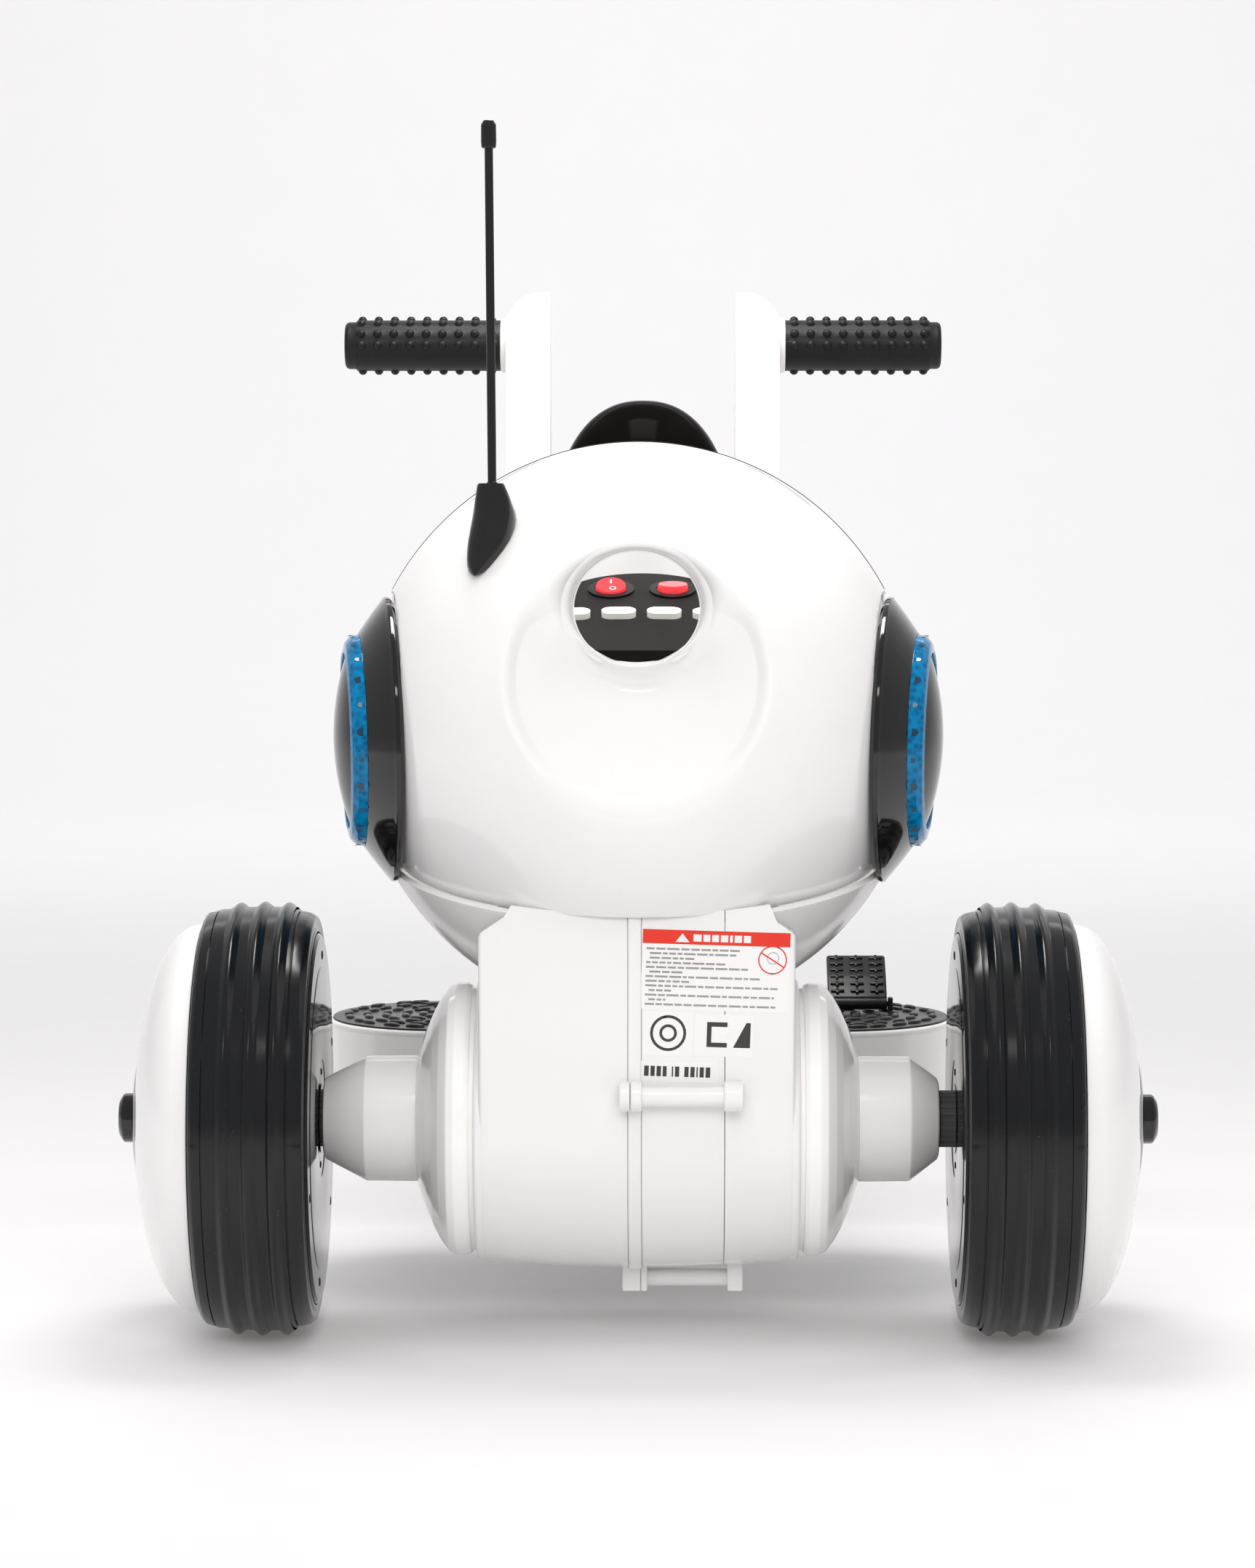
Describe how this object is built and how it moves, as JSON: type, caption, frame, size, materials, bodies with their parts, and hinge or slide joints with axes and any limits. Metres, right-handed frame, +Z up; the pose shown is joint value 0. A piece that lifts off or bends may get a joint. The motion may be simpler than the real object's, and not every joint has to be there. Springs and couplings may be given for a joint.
{
  "type": "ride-on toy vehicle",
  "caption": "Battery ride-on three-wheeler styled as a robot dog: ball-shaped seat, wide rear wheels, steered head with grips, ring lamps and a tail antenna.",
  "frame": {"origin": "middle of the footprint on the floor, below the centre of the overall box", "axes": "+Z up, +Y forward along the length, X across the width with the accelerator pedal on the +X side"},
  "size_m": [0.603, 0.7384, 0.699],
  "materials": {
    "white": "glossy white moulding",
    "grey_white": "satin light grey moulding",
    "black_gloss": "glossy black moulding",
    "black_satin": "satin black blow moulding",
    "dark_grey": "matte dark grey",
    "grip_black": "soft matte black grip",
    "steel": "plain steel",
    "blue_lens": "translucent blue",
    "circuit": "printed board",
    "red": "glossy red",
    "rubber_black": "moulded rubber mat"
  },
  "bodies": {
    "chassis": {"antenna_base": "black_satin", "antenna_rod": "black_satin", "axle_sleeves": "grey_white", "ball_lower_bowl": "grey_white", "battery": "dark_grey", "cross_tube_lugs": "white", "cross_tubes": "white", "dash_panel": "dark_grey", "end_bells": "grey_white", "floor_tray": "white", "foot_mats": "rubber_black", "gearmotors": "dark_grey", "housing_left": "white", "housing_rib": "white", "housing_right": "white", "housing_strip": "white", "lamp_bezels": "black_gloss", "lamp_boards": "circuit", "lamp_caps": "black_gloss", "lamp_rings": "blue_lens", "neck_shell": "white", "pedal_bracket": "black_satin", "rear_axle": "steel", "seam_gasket": "dark_grey", "seat_back_shell": "white", "seat_front_shell": "white", "seat_pan": "dark_grey", "steering_bushes": "dark_grey", "switch_bezels": "dark_grey", "tray_base": "dark_grey", "window_rim": "white"},
    "wheel_left": {"tyre_left": "black_satin", "wheel_disc_left": "black_gloss", "wheel_cover_left": "white", "hub_cap_left": "black_gloss", "drive_hub_left": "dark_grey"},
    "wheel_right": {"tyre_right": "black_satin", "wheel_disc_right": "black_gloss", "wheel_cover_right": "white", "hub_cap_right": "black_gloss", "drive_hub_right": "dark_grey"},
    "steering": {"steering_column": "steel", "front_fork": "white", "front_fender": "white", "front_axle": "steel", "ear_left": "white", "ear_right": "white", "grips": "grip_black", "head_shell": "white", "head_visor": "black_gloss"},
    "front_wheel": {"front_tyre": "black_satin", "front_hub": "dark_grey", "front_covers": "white"},
    "pedal": {"pedal": "black_satin"},
    "power_rocker": {"power_rocker": "red"},
    "direction_rocker": {"direction_rocker": "red"},
    "button_1": {"dash_button_1": "white"},
    "button_2": {"dash_button_2": "white"},
    "button_3": {"dash_button_3": "white"},
    "button_4": {"dash_button_4": "white"}
  },
  "joints": [
    {"name": "rear_wheel_left_spin", "type": "hinge", "parent": "chassis", "child": "wheel_left", "pos_m": [-0.217, -0.24322, 0.126], "axis": [1, 0, 0], "continuous": true},
    {"name": "rear_wheel_right_spin", "type": "hinge", "parent": "chassis", "child": "wheel_right", "pos_m": [0.217, -0.24322, 0.126], "axis": [1, 0, 0], "continuous": true},
    {"name": "steering", "type": "hinge", "parent": "chassis", "child": "steering", "pos_m": [0, 0.27678, 0.09], "axis": [0, -0.213, 0.977], "range_deg": [-35, 35]},
    {"name": "front_wheel_spin", "type": "hinge", "parent": "steering", "child": "front_wheel", "pos_m": [0, 0.27678, 0.09], "axis": [1, 0, 0], "continuous": true},
    {"name": "accelerator", "type": "hinge", "parent": "chassis", "child": "pedal", "pos_m": [0.136, -0.01922, 0.1686], "axis": [-1, 0, 0], "range_deg": [0, 12], "stiffness_Nm_per_rad": 0.4, "springref_deg": -8.59},
    {"name": "power_switch", "type": "hinge", "parent": "chassis", "child": "power_rocker", "pos_m": [-0.02, 0.08678, 0.425], "axis": [-1, 0, 0], "range_deg": [0, 20]},
    {"name": "direction_switch", "type": "hinge", "parent": "chassis", "child": "direction_rocker", "pos_m": [0.02, 0.08678, 0.425], "axis": [1, 0, 0], "range_deg": [0, 20]},
    {"name": "sound_button_1", "type": "slide", "parent": "chassis", "child": "button_1", "axis": [0, 0.3363, -0.9418], "range_m": [0, 0.0015], "stiffness_N_per_m": 400, "springref_m": -0.0004},
    {"name": "sound_button_2", "type": "slide", "parent": "chassis", "child": "button_2", "axis": [0, 0.3363, -0.9418], "range_m": [0, 0.0015], "stiffness_N_per_m": 400, "springref_m": -0.0004},
    {"name": "sound_button_3", "type": "slide", "parent": "chassis", "child": "button_3", "axis": [0, 0.3363, -0.9418], "range_m": [0, 0.0015], "stiffness_N_per_m": 400, "springref_m": -0.0004},
    {"name": "sound_button_4", "type": "slide", "parent": "chassis", "child": "button_4", "axis": [0, 0.3363, -0.9418], "range_m": [0, 0.0015], "stiffness_N_per_m": 400, "springref_m": -0.0004}
  ]
}
